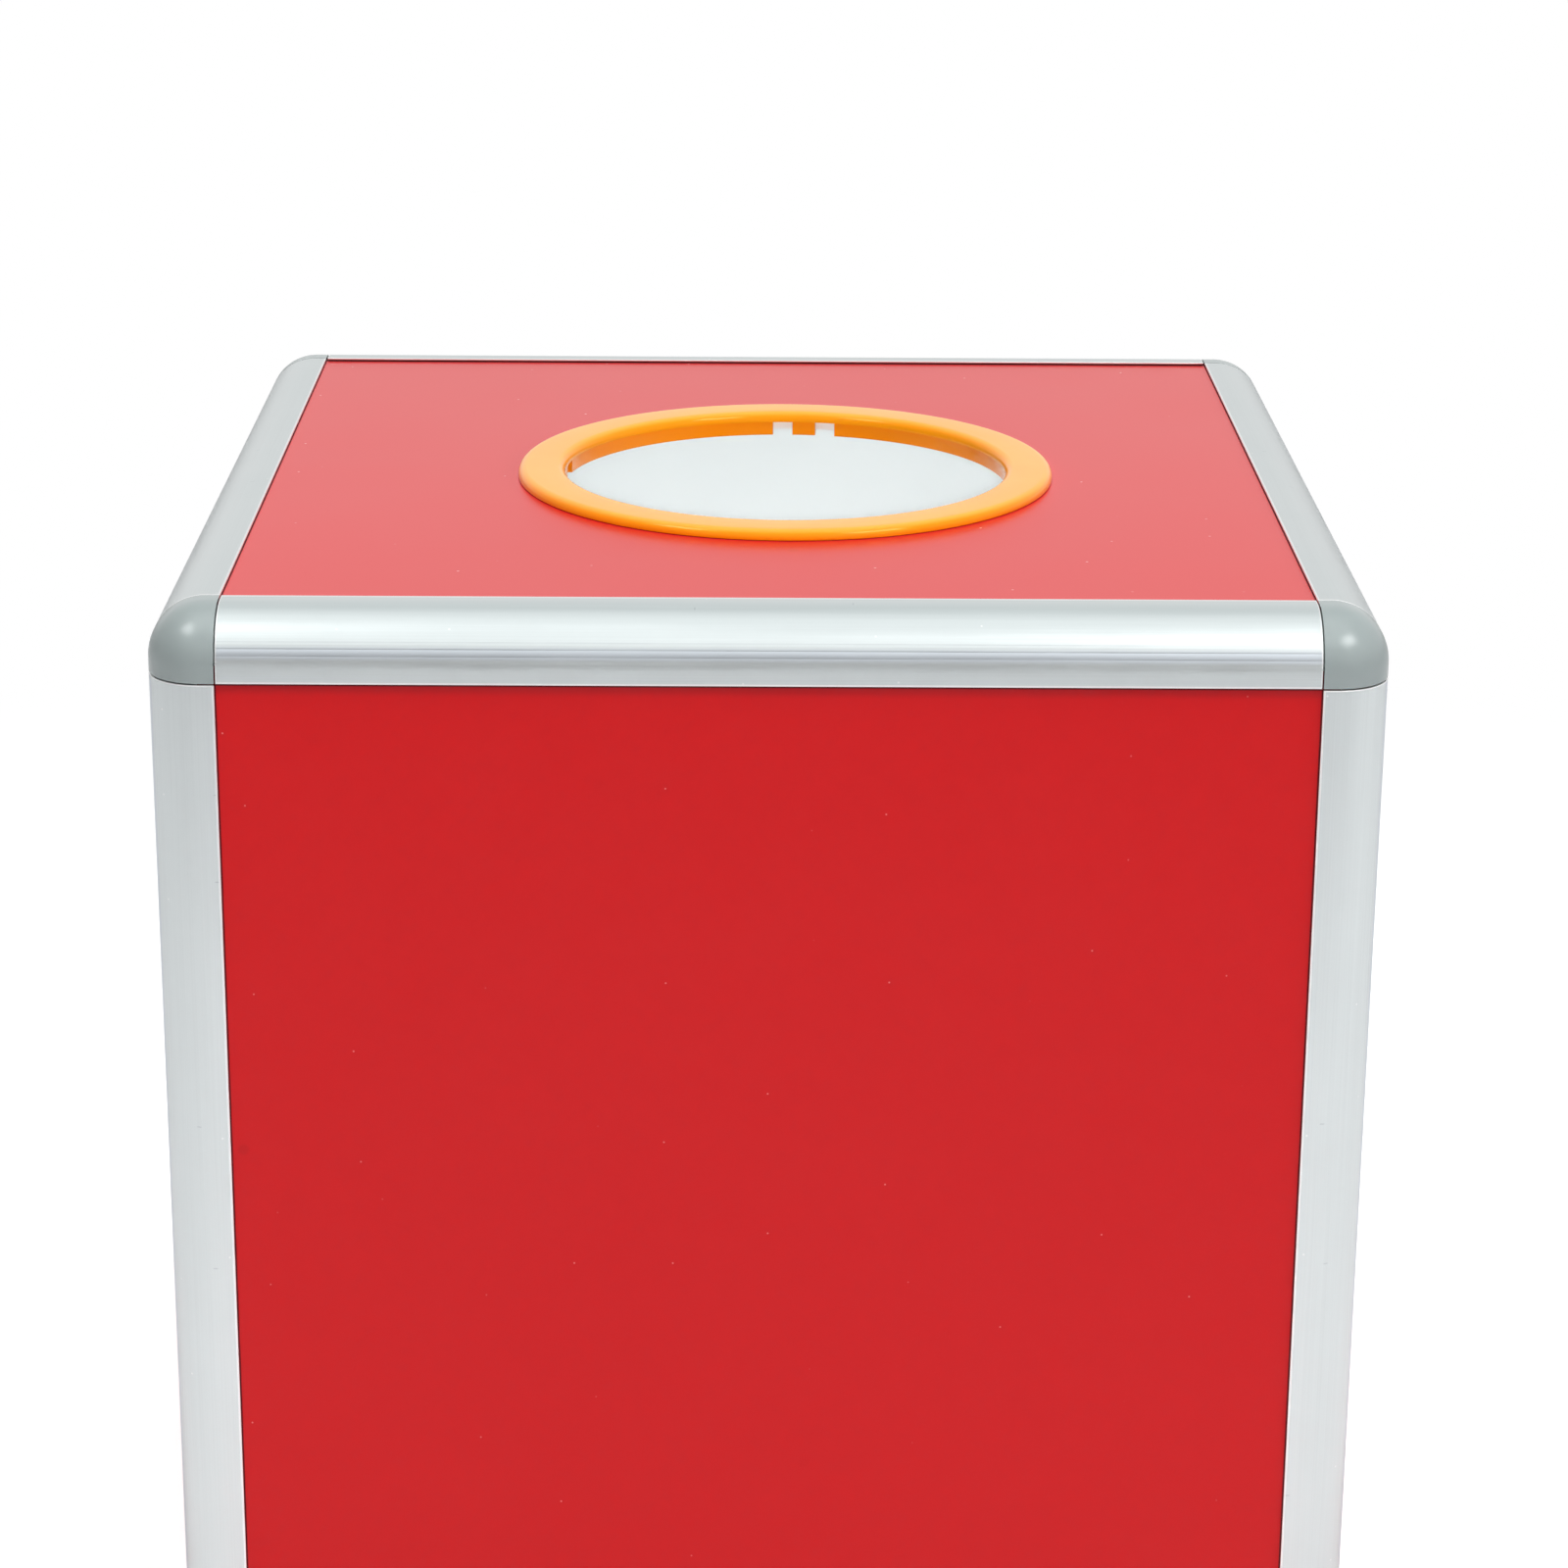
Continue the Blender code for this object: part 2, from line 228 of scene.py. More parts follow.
def pickEdges(piece, test):
    # selects the edges whose two ends both pass the test
    bpy.ops.mesh.select_all(action="DESELECT")
    bm = bmesh.from_edit_mesh(piece.data)
    for line in bm.edges:
        line.select_set(all(test(vert.co) for vert in line.verts))
    bmesh.update_edit_mesh(piece.data)


def bevelPicked(size, steps):
    bpy.ops.mesh.bevel(offset=size, segments=steps, profile=0.5, affect="EDGES")


def bevelEdges(piece, test, size, steps):
    startEdit(piece)
    pickEdges(piece, test)
    bevelPicked(size, steps)
    endEdit()


def cutPlane(piece, spot, normal):
    # cuts away what lies past the plane and closes the cut
    startEdit(piece)
    bpy.ops.mesh.select_all(action="SELECT")
    bpy.ops.mesh.bisect(plane_co=spot, plane_no=normal, use_fill=True, clear_outer=True)
    endEdit()


def booleanWith(piece, other, operation):
    makeActive(piece)
    step = piece.modifiers.new(other.name, "BOOLEAN")
    step.operation = operation
    step.object = other
    bpy.ops.object.modifier_apply(modifier=step.name)
    bpy.data.objects.remove(other)


def softenEdges(piece, width, steps, angle):
    makeActive(piece)
    step = piece.modifiers.new("edges", "BEVEL")
    step.width = width
    step.segments = steps
    step.limit_method = "ANGLE"
    step.angle_limit = math.radians(angle)
    bpy.ops.object.modifier_apply(modifier=step.name)


def mergeAndTurnOut():
    # in edit mode: joins doubled vertices and points all faces outwards
    bpy.ops.mesh.select_all(action="SELECT")
    bpy.ops.mesh.remove_doubles(threshold=mergeDistance)
    bpy.ops.mesh.normals_make_consistent(inside=False)


def cleanUp(piece, smoothAngle):
    startEdit(piece, "VERT")
    mergeAndTurnOut()
    endEdit()
    bpy.ops.object.shade_smooth_by_angle(angle=math.radians(smoothAngle))


def settle(piece, place):
    # moves the mesh there, so that the piece's own transform stays an identity
    piece.matrix_world = place
    makeActive(piece)
    bpy.ops.object.transform_apply(location=True, rotation=True, scale=True)


def copyTo(piece, name, place):
    copy = bpy.data.objects.new(name, piece.data.copy())
    bpy.context.scene.collection.objects.link(copy)
    settle(copy, place)
    copy.data.name = name
    return copy


def finishPiece(piece, material, node):
    piece.data.materials.clear()
    piece.data.materials.append(material)
    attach(piece, "root")
    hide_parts(node)


def inwardFrame(corner, first, second):
    # local X and Y run inwards from an outer corner or edge of the box
    turn = Matrix((first, second, first.cross(second))).transposed().to_4x4()
    return Matrix.Translation(corner) @ turn


rail = {
    "face": 14.4 * mm,           # width of each of the two outer faces
    "round": 11.6 * mm,
    "roundSteps": 25,
    "wall": 1.2 * mm,
    "lip": 0.5 * mm,             # a panel's slot starts behind the lip
    "slotBack": 3.1 * mm,
    "slotFloor": 10.4 * mm,
    "innerLip": 4.1 * mm,
    "core": 9.4 * mm,            # side of the hollow that takes a connector's prong
    "coreSides": 96,
    "edgeBevel": 0.14 * mm,
    "edgeSteps": 2,
    "edgeAngle": 50,
    "smoothAngle": 15,
    "grooveSteps": [19, 21],     # long edges of the round that carry a fine die groove
    "groovePick": (0.05 * mm, 0.03 * mm),     # reach round it, before and after it is opened
    "grooveWidth": 0.10 * mm,
    "grooveDepth": 0.015 * mm,
    "past": 3 * mm,              # how far a cutting block reaches out of the stock
}


def makeRail():
    half, face, radius = railLength / 2, rail["face"], rail["round"]
    piece = addBlock("railStock", (0, 0, -half), (face, face, half))
    bevelEdges(piece, lambda co: co.x < slack and co.y < slack, radius, rail["roundSteps"])
    cutGrooves(piece)
    deep = rail["slotFloor"]
    top = face + rail["past"]
    end = half + rail["past"]
    cuts = [
        ((rail["lip"], deep), (rail["slotBack"], top)),
        ((deep, rail["lip"]), (top, rail["slotBack"])),
        ((rail["innerLip"], deep), (top, top)),
        ((deep, rail["innerLip"]), (top, top)),
    ]
    for low, high in cuts:
        booleanWith(piece, addBlock("cut", (*low, -end), (*high, end)), "DIFFERENCE")
    core = addRod("core", (radius, radius, 0), radius - rail["wall"], 2 * end, rail["coreSides"])
    cutPlane(core, (rail["core"], 0, 0), (1, 0, 0))
    cutPlane(core, (0, rail["core"], 0), (0, 1, 0))
    booleanWith(piece, core, "DIFFERENCE")
    softenEdges(piece, rail["edgeBevel"], rail["edgeSteps"], rail["edgeAngle"])
    cleanUp(piece, rail["smoothAngle"])
    markProfile(piece)
    return piece


def cutGrooves(piece):
    # a fine line along the round, as an extrusion die leaves it
    radius = rail["round"]
    wide, narrow = rail["groovePick"]
    for step in rail["grooveSteps"]:
        turn = math.pi / 2 * step / rail["roundSteps"]
        outward = Vector((-math.sin(turn), -math.cos(turn), 0))
        spot = Vector((radius, radius, 0)) + outward * radius
        startEdit(piece)
        pickEdges(piece, lambda co: (co.xy - spot.xy).length < wide)
        bevelPicked(rail["grooveWidth"], 2)
        pickEdges(piece, lambda co: (co.xy - spot.xy).length < narrow)
        bpy.ops.transform.translate(value=-outward * rail["grooveDepth"])
        endEdit()


def markProfile(piece):
    # UV map: U is the way round the section and V the way along, both in millimetres
    face, radius = rail["face"], rail["round"]
    flat = face - radius
    layer = piece.data.uv_layers.new(name="profile")
    for loop in piece.data.loops:
        co = piece.data.vertices[loop.vertex_index].co
        turn = math.atan2(max(radius - co.x, 0), max(radius - co.y, slack))
        way = flat + radius * turn + max(co.y - radius, 0) - max(co.x - radius, 0)
        layer.data[loop.index].uv = (way / mm, co.z / mm)


def placeRail(stock, material, node, place):
    finishPiece(copyTo(stock, node + "_extrusion", place), material, node)


def placeRails(stock, material):
    ends = {"bottom": (0, Vector((0, 0, 1))), "top": (frameHeight, Vector((0, 0, -1)))}
    across = {"left": Vector((1, 0, 0)), "right": Vector((-1, 0, 0))}
    deep = {"front": Vector((0, 1, 0)), "back": Vector((0, -1, 0))}
    for level, (z, inward) in ends.items():
        for side, way in {**deep, **across}.items():
            corner = Vector((-way.x * halfBox.x, -way.y * halfBox.y, z))
            placeRail(stock, material, f"{side}_{level}_rail", inwardFrame(corner, way, inward))
    for depthSide, deepWay in deep.items():
        for side, way in across.items():
            corner = Vector((-way.x * halfBox.x, -deepWay.y * halfBox.y, frameHeight / 2))
            place = inwardFrame(corner, way, deepWay)
            placeRail(stock, material, f"{depthSide}_{side}_post", place)
    bpy.data.objects.remove(stock)


connector = {
    "roundSteps": 24,
    "prongLength": 16 * mm,      # past the cap
    "prongRoot": 3 * mm,         # inside the cap
    "prongGap": 0.3 * mm,
    "prongChamfer": 0.8 * mm,
    "prongSides": 96,
    "edgeBevel": 0.2 * mm,
    "edgeSteps": 2,
    "edgeAngle": 50,
    "smoothAngle": 20,
}


def makeConnector():
    face, radius, gap = rail["face"], rail["round"], connector["prongGap"]
    piece = addBlock("connectorStock", (0, 0, 0), (face, face, face))

    def onOuterEdge(co):
        return sum(value < slack for value in co) >= 2

    bevelEdges(piece, onOuterEdge, radius, connector["roundSteps"])
    thick = radius - rail["wall"] - gap
    side = rail["core"] - gap
    length = connector["prongLength"] + connector["prongRoot"]
    middle = face - connector["prongRoot"] + length / 2
    tip = middle + length / 2 - slack
    for turn in range(3):
        prong = addRod("prong", (radius, radius, middle), thick, length, connector["prongSides"])
        cutPlane(prong, (side, 0, 0), (1, 0, 0))
        cutPlane(prong, (0, side, 0), (0, 1, 0))
        bevelEdges(prong, lambda co: co.z > tip, connector["prongChamfer"], 1)
        prong.matrix_world = cycleTurn(turn)
        booleanWith(piece, prong, "UNION")
    deep, top = rail["slotFloor"], face + rail["past"]
    inside = addBlock("inside", (deep, deep, deep), (top, top, top))
    booleanWith(piece, inside, "DIFFERENCE")
    for turn in range(3):
        slot = addBlock("slot", (deep, deep, rail["lip"]), (top, top, rail["slotBack"]))
        slot.matrix_world = cycleTurn(turn)
        booleanWith(piece, slot, "DIFFERENCE")
    softenEdges(piece, connector["edgeBevel"], connector["edgeSteps"], connector["edgeAngle"])
    cleanUp(piece, connector["smoothAngle"])
    return piece


def cycleTurn(turn):
    # turns +Z into +Z, +X or +Y, and the other two directions with it
    axes = [Vector((1, 0, 0)), Vector((0, 1, 0)), Vector((0, 0, 1))]
    order = axes[turn:] + axes[:turn]
    return Matrix(order).transposed().to_4x4()


def placeConnectors(stock, material):
    for level, up in {"bottom": -1, "top": 1}.items():
        for depthSide, ySign in {"front": -1, "back": 1}.items():
            for side, xSign in {"left": -1, "right": 1}.items():
                z = frameHeight if up > 0 else 0
                corner = Vector((xSign * halfBox.x, ySign * halfBox.y, z))
                across, deep = Vector((-xSign, 0, 0)), Vector((0, -ySign, 0))
                if xSign * ySign * up < 0:
                    place = inwardFrame(corner, across, deep)
                else:
                    place = inwardFrame(corner, deep, across)
                node = f"{depthSide}_{side}_{level}_connector"
                piece = copyTo(stock, node + "_moulding", place)
                finishPiece(piece, material, node)
    bpy.data.objects.remove(stock)


ring = {
    "sides": 192,
    "flangeWidth": 10.6 * mm,
    "flangeUnder": 0.12 * mm,    # underside of the flange above the panel's face
    "flangeTop": 2.4 * mm,
    "outerRound": 1.9 * mm,
    "innerRound": 2.0 * mm,
    "roundSteps": 10,
    "land": 0.3 * mm,            # upright strip under the inner round
    "step": 0.45 * mm,           # from there back to the collar's wall
    "wall": 1.4 * mm,
    "edgeBevel": 0.15 * mm,
    "edgePick": 0.02 * mm,
    "smoothAngle": 25,
    "tongues": 4,
    "firstTongue": math.radians(-5.5),
    "tongueWidth": 5.4 * mm,
    "slotWidth": 4.6 * mm,       # the slots at both sides of a tongue
    "slotTop": 0.1 * mm,
    "barbTop": -2.3 * mm,
    "barbHeight": 0.7 * mm,
    "barbReach": 1.3 * mm,
    "barbChamfer": 0.6,          # as a share of its height
    "past": 1 * mm,
}


def ringSeat():
    # the middle of the hole, level with the face that the flange lies on
    low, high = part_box("hole_ring")
    return Vector(((low.x + high.x) / 2, (low.y + high.y) / 2, high.z - ring["flangeTop"]))


def makeRing():
    low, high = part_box("hole_ring")
    outer, bottom = (high.x - low.x) / 2, low.z - high.z + ring["flangeTop"]
    opening = outer - ring["flangeWidth"]
    inner = opening + ring["step"]
    collar = inner + ring["wall"]
    under, top = ring["flangeUnder"], ring["flangeTop"]
    ledge = top - ring["innerRound"] - ring["land"]
    turned = [
        (inner, ledge), (opening, ledge), (opening, top), (outer, top),
        (outer, under), (collar, under), (collar, bottom), (inner, bottom),
    ]
    deselectAll()
    start = {"vertices": ring["sides"], "radius": inner, "location": (0, 0, bottom)}
    bpy.ops.mesh.primitive_circle_add(**start)
    piece = named("hole_ring_moulding")
    makeActive(piece)
    bpy.ops.object.transform_apply(location=True, rotation=True, scale=True)
    startEdit(piece)
    bpy.ops.mesh.select_all(action="SELECT")
    lastRadius, lastHeight = inner, bottom
    for radius, height in turned:
        rise = {"value": (0, 0, height - lastHeight)}
        bpy.ops.mesh.extrude_region_move(TRANSFORM_OT_translate=rise)
        grow = radius / lastRadius
        bpy.ops.transform.resize(value=(grow, grow, 1), center_override=(0, 0, 0))
        lastRadius, lastHeight = radius, height
    mergeAndTurnOut()
    endEdit()

    def loopAt(radius, height):
        reach = ring["edgePick"]
        return lambda co: abs(co.xy.length - radius) < reach and abs(co.z - height) < reach

    bevelEdges(piece, loopAt(opening, top), ring["innerRound"], ring["roundSteps"])
    bevelEdges(piece, loopAt(outer, top), ring["outerRound"], ring["roundSteps"])
    for radius, height in [(outer, under), (inner, bottom), (collar, bottom)]:
        bevelEdges(piece, loopAt(radius, height), ring["edgeBevel"], 2)
    bevelEdges(piece, loopAt(opening, ledge), ring["edgeBevel"] / 2, 1)
    cutTongues(piece, collar, opening, bottom)
    cleanUp(piece, ring["smoothAngle"])
    settle(piece, Matrix.Translation(ringSeat()))
    return piece


def cutTongues(piece, collar, opening, bottom):
    width, past = ring["tongueWidth"], ring["past"]
    for index in range(ring["tongues"]):
        angle = ring["firstTongue"] + index * 2 * math.pi / ring["tongues"]
        turn = Matrix.Rotation(angle, 4, "Z")
        low = (collar - ring["wall"] / 2, -width / 2, ring["barbTop"] - ring["barbHeight"])
        high = (collar + ring["barbReach"], width / 2, ring["barbTop"])
        barb = addBlock("barb", low, high)
        barbTip = lambda co: co.x > high[0] - slack and co.z < low[2] + slack
        bevelEdges(barb, barbTip, ring["barbHeight"] * ring["barbChamfer"], 1)
        barb.matrix_world = turn
        booleanWith(piece, barb, "UNION")
        for side in (-1, 1):
            ends = sorted((side * width / 2, side * (width / 2 + ring["slotWidth"])))
            slotLow = (opening - past, ends[0], bottom - past)
            slotHigh = (collar + past, ends[1], ring["slotTop"])
            cut = addBlock("slot", slotLow, slotHigh)
            cut.matrix_world = turn
            booleanWith(piece, cut, "DIFFERENCE")


metal = {
    "base": (0.710, 0.743, 0.744),
    "pale": (0.748, 0.783, 0.784),
    "band": (0.665, 0.705, 0.755),         # bluish band under the highlight
    "scuffed": (0.60, 0.63, 0.64),
    "dark": (0.42, 0.44, 0.47),            # die lines and ticks
    "bare": (0.97, 0.96, 0.955),           # lips, sawn ends and pits
    "gloss": (0.30, 0.36),
    "cloudGloss": 0.03,
    "scuffGloss": 0.05,
    "bump": (0.16, 0.02 * mm),
    # streaks: waves in a millimetre across and along, a place of their own, detail, roughness
    "fine": (3.2, 0.012, 0.0, 3.0, 0.6),
    "broad": (0.55, 0.004, 4.0, 2.0, 0.5),
    "breaks": (0.3, 0.02, 6.0, 3.0, 0.6),
    "scratches": (0.9, 0.25, 9.0, 4.0, 0.7),
    "cloud": (38.0, 3.0, 0.55),
    # specks: spacing and size in millimetres, share of the places that have one
    "pits": (11.0, 0.30, 0.4),
    "ticks": (13.0, 0.22, 0.4),
    "tickStretch": 0.3,
    # degrees round the section at which the band fades in and out
    "bandStart": (64, 69),
    "bandEnd": (76, 81),
    "dieLines": [(61, 0.30), (64.5, 0.25), (68, 0.75), (75.2, 0.50)],     # degrees, strength
    "dieLineWidth": (0.016, 0.005),        # radians, none to full
    # widths of the bare strips in millimetres, none to full
    "bareLip": (0.50, 0.36),
    "bareEnd": (0.36, 0.22),
    # reach of the wear on the front rail's upper lip, behind it, in front of it and down
    "wornBehind": (0.2 * mm, 0.1 * mm),
    "wornAhead": (1.2 * mm, 0.8 * mm),
    "wornDown": (0.2 * mm, 0.05 * mm),
    # how strongly each of them shows
    "bandShare": 0.9,
    "scuffShare": 0.14,
    "tickShare": 0.4,
    "bareShare": 0.9,
    "pitShare": 0.7,
}


def satinAluminium(board):
    place = board.place()
    way, along = board.parts(board.node("ShaderNodeUVMap", {"uv_map": "profile"}))[:2]
    flat, radius = (rail["face"] - rail["round"]) / mm, rail["round"] / mm
    turn = (way - flat) / radius

    def streaks(kind):
        across, lengthwise, apart, detail, rough = metal[kind]
        spot = board.point(way * across, along * lengthwise, apart)
        return board.noise(spot, 1.0, detail, rough)

    fine, broad, scratch = streaks("fine"), streaks("broad"), streaks("scratches")
    lines = fine * 0.6 + broad * 0.4
    cloud = board.noise(place, *metal["cloud"])
    scuff = board.between(scratch, 0.66, 0.74)
    pits = board.specks(board.point(way, along, 0.0), *metal["pits"])
    ticks = board.specks(board.point(way * metal["tickStretch"], along, 0.0), *metal["ticks"])
    bandIn = board.between(turn, *map(math.radians, metal["bandStart"]))
    bandOut = board.between(turn, *map(math.radians, metal["bandEnd"]))
    band = bandIn * (1 - bandOut)
    dies = 0
    for angle, strength in metal["dieLines"]:
        off = (turn - math.radians(angle)).math("ABSOLUTE")
        dies = dies + board.between(off, *metal["dieLineWidth"]) * strength
    dies = dies * board.between(streaks("breaks"), 0.35, 0.65, 0.35, 1.0)
    bare = bareStrips(board, way, along, flat + radius * math.pi / 4)
    bare = bare.math("MAXIMUM", wornLip(board, place))
    colour = board.blend(board.between(lines, 0.3, 0.7), metal["base"], metal["pale"])
    colour = board.blend(band * metal["bandShare"], colour, metal["band"])
    colour = board.blend(scuff * metal["scuffShare"], colour, metal["scuffed"])
    colour = board.blend(ticks * metal["tickShare"] + dies, colour, metal["dark"])
    bright = (bare * metal["bareShare"]).math("MAXIMUM", pits * metal["pitShare"])
    colour = board.blend(bright, colour, metal["bare"])
    rough = board.between(lines, 0.25, 0.75, *metal["gloss"])
    rough = rough + board.between(cloud, 0.35, 0.7, 0.0, metal["cloudGloss"])
    rough = rough + scuff * metal["scuffGloss"]
    height = fine * 0.7 + scratch * 0.12 - pits * 0.3
    return {
        "Base Color": colour, "Metallic": 1.0, "Roughness": rough,
        "Normal": board.bump(height, *metal["bump"]),
    }


def bareStrips(board, way, along, halfWay):
    # on the lips, which are the two ends of the way round, and on the sawn ends
    halfLength = railLength / mm / 2
    lips = [halfWay - width for width in metal["bareLip"]]
    ends = [halfLength - width for width in metal["bareEnd"]]
    bare = board.between((way - halfWay).math("ABSOLUTE"), *lips)
    return bare.math("MAXIMUM", board.between(along.math("ABSOLUTE"), *ends))


def wornLip(board, place):
    y, z = board.parts(place)[1:]
    lip = cadBox[0].y + rail["face"]
    ahead = board.between(y, *[lip - reach for reach in metal["wornAhead"]])
    down = board.between(z, *[frameHeight - reach for reach in metal["wornDown"]])
    behind = board.between(y, *[lip + reach for reach in metal["wornBehind"]])
    return ahead * down * behind


capPlastic = {
    "grey": (0.270, 0.312, 0.310),
    "greyPale": (0.290, 0.332, 0.330),
    "dust": (0.62, 0.66, 0.66),
    "dustShare": 0.5,
    "dustGloss": 0.1,
    "dustSpecks": (4.5 * mm, 0.30 * mm, 0.2),     # spacing, size, share of the places with one
    "cloud": (60.0, 3.0, 0.5),
    "grain": (900.0, 2.0, 0.5),
    "gloss": (0.29, 0.31),
    "coatWeight": 0.5,
    "coatRough": 0.22,
    "bump": (0.05, 0.02 * mm),
}


def greyPlastic(board):
    place = board.place()
    cloud = board.noise(place, *capPlastic["cloud"])
    grain = board.noise(place, *capPlastic["grain"])
    dust = board.specks(place, *capPlastic["dustSpecks"], "3D")
    shade = board.between(cloud, 0.3, 0.7)
    colour = board.blend(shade, capPlastic["grey"], capPlastic["greyPale"])
    colour = board.blend(dust * capPlastic["dustShare"], colour, capPlastic["dust"])
    rough = board.between(cloud, 0.2, 0.8, *capPlastic["gloss"]) + dust * capPlastic["dustGloss"]
    return {
        "Base Color": colour, "Roughness": rough,
        "Coat Weight": capPlastic["coatWeight"], "Coat Roughness": capPlastic["coatRough"],
        "Normal": board.bump(grain, *capPlastic["bump"]),
    }


ringPlastic = {
    # painted light and shade: paler on the flat of the flange, which faces up to the light, and
    # deeper down on the collar in the hole
    "collar": (0.97, 0.250, 0.002),
    "edges": (0.97, 0.310, 0.002),
    "flat": (0.94, 0.375, 0.040),          # pale, on the flat of the flange
    "flatPale": (0.96, 0.400, 0.050),
    "flatStart": (0.95 * mm, 0.05 * mm),   # down from the flange's top, none to full
    "collarEnd": (2.6 * mm, 2.3 * mm),
    "cloud": (45.0, 3.0, 0.5),
    "grain": (1500.0, 2.0, 0.6),
    "gloss": (0.10, 0.125),
    "ior": 1.46,
    "tint": (1.0, 0.82, 0.36),
    "bump": (0.06, 0.02 * mm),
}


def orangePlastic(board):
    place = board.place()
    z = board.parts(place)[2]
    cloud = board.noise(place, *ringPlastic["cloud"])
    grain = board.noise(place, *ringPlastic["grain"])
    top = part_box("hole_ring")[1].z
    # painted light on the flat of the flange, painted shade on the collar down in the hole
    onFlat = board.between(z, *[top - down for down in ringPlastic["flatStart"]])
    aboveCollar = board.between(z, *[top - down for down in ringPlastic["collarEnd"]])
    shade = board.between(cloud, 0.3, 0.7)
    deep = board.blend(aboveCollar, ringPlastic["collar"], ringPlastic["edges"])
    pale = board.blend(shade, ringPlastic["flat"], ringPlastic["flatPale"])
    return {
        "Base Color": board.blend(onFlat, deep, pale),
        "Roughness": board.between(cloud, 0.3, 0.7, *ringPlastic["gloss"]),
        "IOR": ringPlastic["ior"], "Specular Tint": ringPlastic["tint"],
        "Normal": board.bump(grain, *ringPlastic["bump"]),
    }


panel = {
    "film": 0.4 * mm,                      # depth of the red film from the outer face
    "red": (0.578, 0.0012, 0.0025),
    "redWorn": (0.594, 0.0018, 0.0031),
    "redMark": (0.40, 0.0010, 0.0020),
    "dust": (0.88, 0.50, 0.47),
    # colour of the painted shade in the joints under the rails and in the strips beside them
    "paintedShade": (0.060, 0.002, 0.005),
    "white": (0.89, 0.925, 0.925),
    "whiteWorn": (0.87, 0.905, 0.905),
    "whiteGloss": 0.5,
    "cloud": (6.0, 1.0, 0.5),
    "smudge": (30.0, 3.0, 0.5),
    "marks": (55 * mm, 1.6 * mm, 0.2),     # spacing, size, share of the places with one
    "markShare": 0.35,
    "dustShare": 0.6,
    "paintedShadeShare": 0.92,
    "paintedShadeGloss": 0.4,
    "paintedShadeSoft": 0.2 * mm,
    # painted shade: a darker strip beside the rails above and below, on the upright panels
    "shadeReach": (2.9 * mm, 0.5 * mm),    # darker strip beside the rails above and below
    "ior": 1.44,
    "tint": (1.0, 0.60, 0.65),
    "sheen": 0.06,
    # where the two kinds of panel differ; the painted shade in the joints shows this wide at each
    # pair of rails
    "level": {
        "gloss": (0.245, 0.262), "dust": (22 * mm, 0.36 * mm, 0.5), "dustGloss": 0.0,
        "paintedShade": (0.28 * mm, 0.40 * mm), "shade": 0.0,
    },
    "upright": {
        "gloss": (0.29, 0.31), "dust": (22 * mm, 0.24 * mm, 0.5), "dustGloss": 0.2,
        "paintedShade": (0.40 * mm, 0.65 * mm), "shade": 0.36,
    },
}


def redBoard(board, name, axis, sign):
    # red film on the outer side, white core and inner face
    low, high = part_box(name)
    outer = high[axis] if sign > 0 else low[axis]
    own = panel["level" if axis == 2 else "upright"]
    place = board.place()
    spots = board.parts(place)
    others = [other for other in range(3) if other != axis]
    inside = (outer - spots[axis]) * sign > panel["film"]
    cloud = board.noise(place, *panel["cloud"])
    smudge = board.noise(place, *panel["smudge"])
    flat = board.point(*[spots[other] for other in others], 0.0)
    dust = board.specks(flat, *own["dust"])
    mark = board.specks(flat, *panel["marks"])
    # painted shade where the film runs in under the rails, in the gaps under their lips
    seen = halfBox.x - rail["face"]
    middle = (low + high) / 2
    across = [(spots[other] - middle[other]).math("ABSOLUTE") for other in others]
    joints = []
    for way, wide in zip(across, own["paintedShade"]):
        joints.append(board.between(way, seen - wide, seen - wide + panel["paintedShadeSoft"]))
    joint = joints[0].math("MAXIMUM", joints[1])
    # painted shade: a darker strip beside the rails above and below, on the upright panels only
    shade = board.between(across[1], *[seen - reach for reach in panel["shadeReach"]])
    red = board.blend(board.between(cloud, 0.2, 0.8), panel["red"], panel["redWorn"])
    red = board.blend(mark * panel["markShare"], red, panel["redMark"])
    red = board.blend(dust * panel["dustShare"], red, panel["dust"])
    # painted shade beside the rails and in the joints under their lips
    red = board.blend(shade * own["shade"], red, panel["paintedShade"])
    red = board.blend(joint * panel["paintedShadeShare"], red, panel["paintedShade"])
    white = board.blend(board.between(smudge, 0.3, 0.7), panel["white"], panel["whiteWorn"])
    film = board.between(smudge, 0.2, 0.8, *own["gloss"])
    film = film + dust * own["dustGloss"] + joint * panel["paintedShadeGloss"]
    return {
        "Base Color": board.blend(inside, red, white),
        "Roughness": film * (1 - inside) + inside * panel["whiteGloss"],
        "IOR": panel["ior"], "Specular Tint": panel["tint"], "Sheen Weight": panel["sheen"],
    }


def dressPanels():
    faces = {
        "front_panel": (1, -1), "back_panel": (1, 1), "left_panel": (0, -1),
        "right_panel": (0, 1), "bottom_panel": (2, -1), "top_panel": (2, 1),
    }
    for name, (axis, sign) in faces.items():
        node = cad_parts[name]
        node.data.materials.clear()
        node.data.materials.append(paint("redBoard_" + name, redBoard, name, axis, sign))


